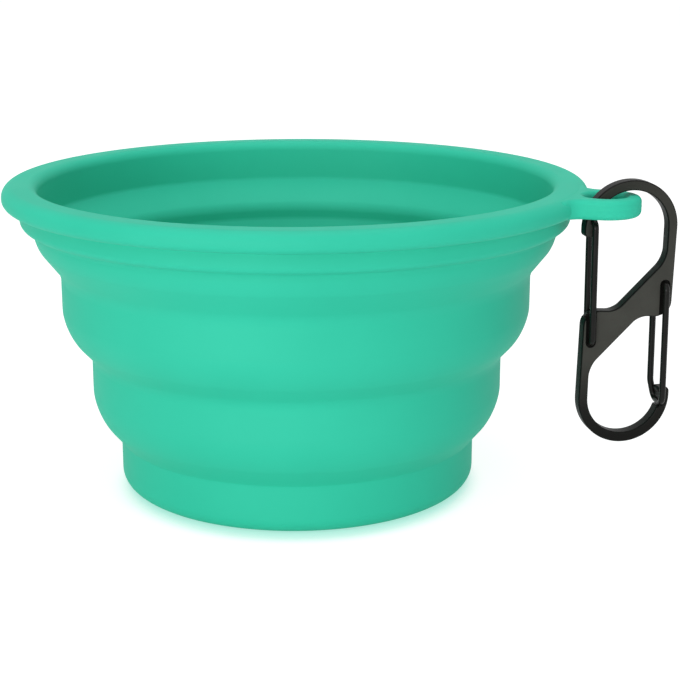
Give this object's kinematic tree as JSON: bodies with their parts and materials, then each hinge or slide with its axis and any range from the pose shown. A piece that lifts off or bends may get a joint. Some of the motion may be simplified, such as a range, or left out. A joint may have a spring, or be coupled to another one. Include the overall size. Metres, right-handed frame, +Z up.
{
  "type": "collapsible silicone bowl",
  "caption": "Round collapsible silicone bowl with stepped folding walls and a rim eyelet that carries a wire-gate snap clip.",
  "frame": {"origin": "on the bowl's axis, at the underside of the base", "axes": "+Z up along the bowl's axis, +X towards the eyelet and its clip"},
  "size_m": [0.1495, 0.13, 0.0729],
  "materials": {
    "silicone": "soft matte moulded silicone",
    "clip_coating": "satin black coating on cast metal",
    "gate_wire": "satin black coated spring wire"
  },
  "bodies": {
    "rim": {"rim": "silicone", "upper_fold": "silicone"},
    "upper_ring": {"upper_ring": "silicone", "middle_fold": "silicone"},
    "lower_ring": {"lower_ring": "silicone", "lower_fold": "silicone"},
    "base": {"base": "silicone"},
    "clip_frame": {"clip_frame": "clip_coating"},
    "upper_gate": {"upper_gate": "gate_wire"},
    "lower_gate": {"lower_gate": "gate_wire"}
  },
  "joints": [
    {"name": "upper_fold_slide", "type": "slide", "parent": "rim", "child": "upper_ring", "axis": [0, 0, 1], "range_m": [0, 0.019], "deforming": ["upper_fold"]},
    {"name": "middle_fold_slide", "type": "slide", "parent": "upper_ring", "child": "lower_ring", "axis": [0, 0, 1], "range_m": [0, 0.0174], "deforming": ["middle_fold"]},
    {"name": "lower_fold_slide", "type": "slide", "parent": "lower_ring", "child": "base", "axis": [0, 0, 1], "range_m": [0, 0.018], "deforming": ["lower_fold"]},
    {"name": "clip_swing", "type": "hinge", "parent": "rim", "child": "clip_frame", "pos_m": [0.07489, 0.00296, 0.06755], "axis": [0.4909, -0.8712, 0], "range_deg": [0, 85]},
    {"name": "upper_gate_hinge", "type": "hinge", "parent": "clip_frame", "child": "upper_gate", "pos_m": [0.06754, -0.00118, 0.03795], "axis": [-0.4909, 0.8712, 0], "range_deg": [0, 30], "stiffness_Nm_per_rad": 0.02, "springref_deg": -5.73},
    {"name": "lower_gate_hinge", "type": "hinge", "parent": "clip_frame", "child": "lower_gate", "pos_m": [0.08162, 0.00676, 0.05005], "axis": [-0.4909, 0.8712, 0], "range_deg": [0, 30], "stiffness_Nm_per_rad": 0.02, "springref_deg": -5.73}
  ]
}
